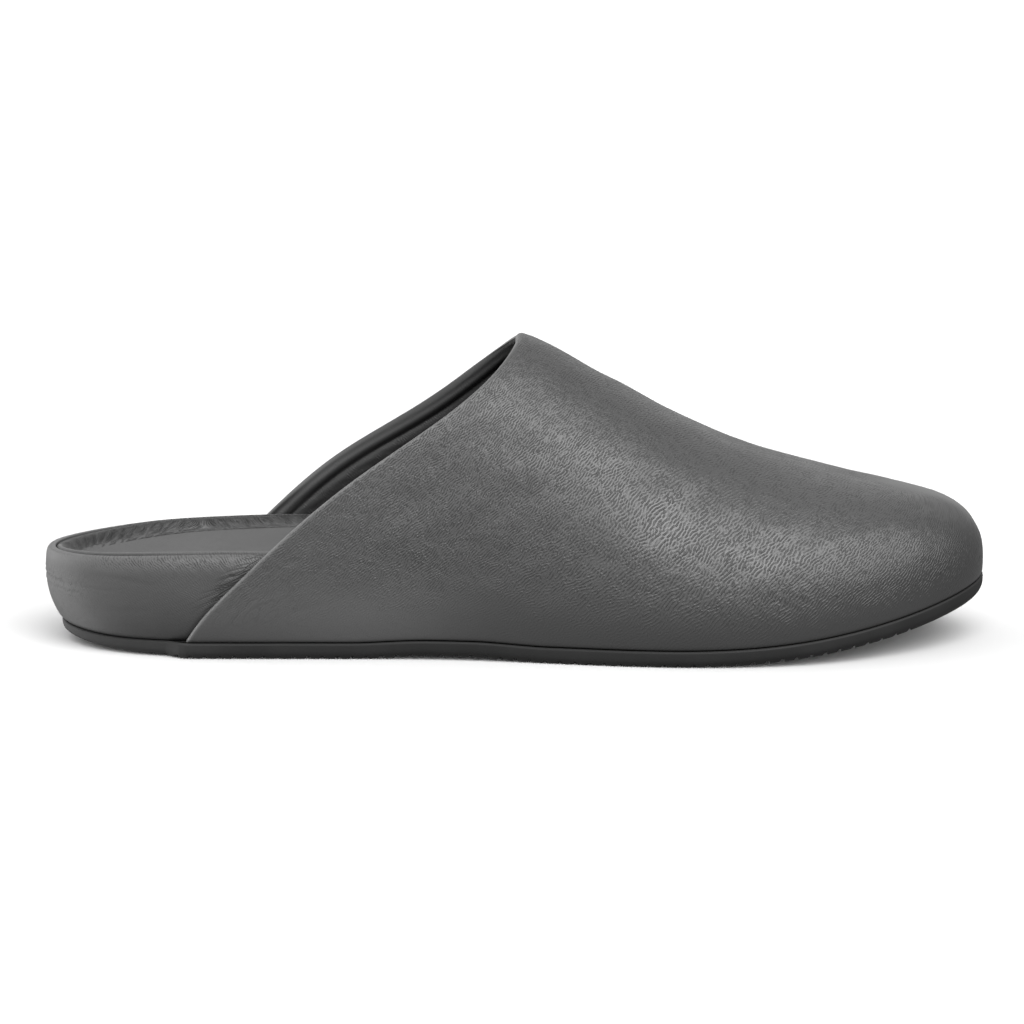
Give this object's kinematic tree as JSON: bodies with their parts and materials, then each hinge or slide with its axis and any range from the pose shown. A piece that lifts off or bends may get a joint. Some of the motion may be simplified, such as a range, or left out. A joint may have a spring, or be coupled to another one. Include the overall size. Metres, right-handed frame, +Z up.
{
  "type": "mule slipper",
  "caption": "Backless leather house shoe with a one-piece vamp, raised rim round the heel, dished insole and thin ribbed rubber outsole.",
  "frame": {"origin": "middle of the shoe's box, on the floor under the outsole", "axes": "+X from the heel to the toe, +Y to the medial side, +Z up"},
  "size_m": [0.2866, 0.1066, 0.0929],
  "materials": {
    "outsole_rubber": "matt black rubber with fine ribs across",
    "footbed_leather": "dark grey leather drawn over the footbed's rim, with small creases",
    "wrap_leather": "dark grey smooth leather, softly wrinkled",
    "insole_leather": "mid grey smooth lining leather, matt",
    "upper_leather": "dark grey grained leather with a soft sheen"
  },
  "bodies": {
    "root": {"outsole": "outsole_rubber", "footbed": "footbed_leather", "heel_wrap": "wrap_leather", "insole": "insole_leather", "upper": "upper_leather"}
  },
  "joints": []
}
